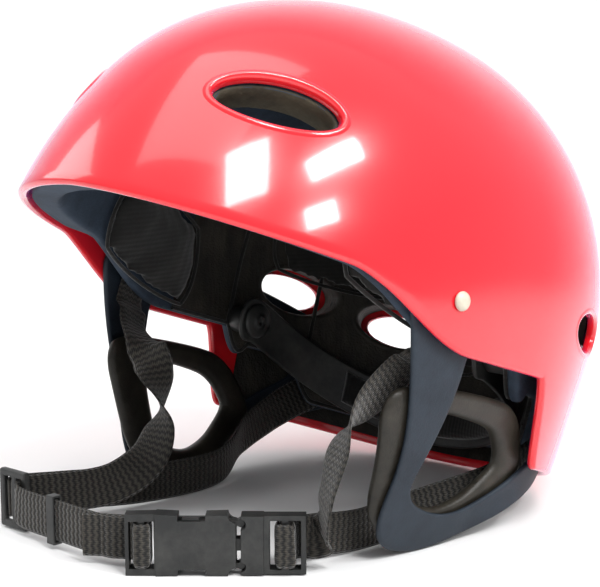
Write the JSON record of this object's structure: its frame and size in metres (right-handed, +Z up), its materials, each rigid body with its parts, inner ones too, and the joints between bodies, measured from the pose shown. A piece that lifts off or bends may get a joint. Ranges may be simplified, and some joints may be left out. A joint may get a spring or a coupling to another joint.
{
  "type": "water helmet",
  "caption": "Hard-shell water helmet with foam liner, ear guards, turning rear cradle and a webbing chin harness with side-release buckle.",
  "frame": {"origin": "centre of the bounding box on the table plane, helmet standing on its ear guard tips and nape edge", "axes": "+Z up, +X towards the wearer's left, -Y towards the front brim"},
  "size_m": [0.2054, 0.2875, 0.2274],
  "materials": {
    "red_shell": "gloss",
    "foam": "matt",
    "pad_cloth": "brushed cloth",
    "guard_foam": "matt",
    "black_foam": "satin",
    "black_plastic": "satin",
    "webbing": "woven",
    "rivet": "satin"
  },
  "bodies": {
    "helmet": {"outer_shell": "red_shell", "foam_liner": "foam", "brow_pad": "pad_cloth", "crown_pad": "pad_cloth", "temple_pad_left": "pad_cloth", "temple_pad_right": "pad_cloth", "rear_pad_left": "pad_cloth", "rear_pad_right": "pad_cloth", "rear_pad_centre": "pad_cloth", "ear_guard_left": "guard_foam", "ear_guard_right": "guard_foam", "ear_pad_left": "black_foam", "ear_pad_right": "black_foam", "cradle_pivots": "black_plastic", "temple_rivets": "rivet", "nape_rivets": "rivet", "crown_rivet": "rivet", "front_strap_left": "webbing", "front_strap_right": "webbing", "rear_strap_left": "webbing", "rear_strap_right": "webbing", "chin_strap": "webbing", "strap_slider": "black_plastic", "buckle_female": "black_plastic"},
    "cradle": {"rear_cradle": "black_plastic", "cradle_pad": "pad_cloth"},
    "buckle_plug": {"buckle_male": "black_plastic"},
    "arm_upper": {"buckle_arm_upper": "black_plastic"},
    "arm_lower": {"buckle_arm_lower": "black_plastic"},
    "keeper": {"strap_keeper": "black_plastic"}
  },
  "joints": [
    {"name": "cradle_tilt", "type": "hinge", "parent": "helmet", "child": "cradle", "pos_m": [0, 0.031, 0.07453], "axis": [1, 0, 0], "range_deg": [-6, 6]},
    {"name": "buckle_release", "type": "slide", "parent": "helmet", "child": "buckle_plug", "axis": [0.7547, 0.6561, 0], "range_m": [0, 0.012], "deforming": ["front_strap_left", "rear_strap_left"]},
    {"name": "arm_upper_flex", "type": "hinge", "parent": "buckle_plug", "child": "arm_upper", "pos_m": [0.03772, -0.09012, 0.0212], "axis": [-0.6561, 0.7547, 0], "range_deg": [-12, 0]},
    {"name": "arm_lower_flex", "type": "hinge", "parent": "buckle_plug", "child": "arm_lower", "pos_m": [0.03772, -0.09012, 0.0038], "axis": [-0.6561, 0.7547, 0], "range_deg": [0, 12]},
    {"name": "keeper_slide", "type": "slide", "parent": "helmet", "child": "keeper", "axis": [0.9988, -0.0499, 0], "range_m": [-0.006, 0.006]}
  ],
  "couplings": [
    {"joint": "arm_upper_flex", "follows": "buckle_release", "rad_per_m": -17.453},
    {"joint": "arm_lower_flex", "follows": "buckle_release", "rad_per_m": 17.453}
  ]
}
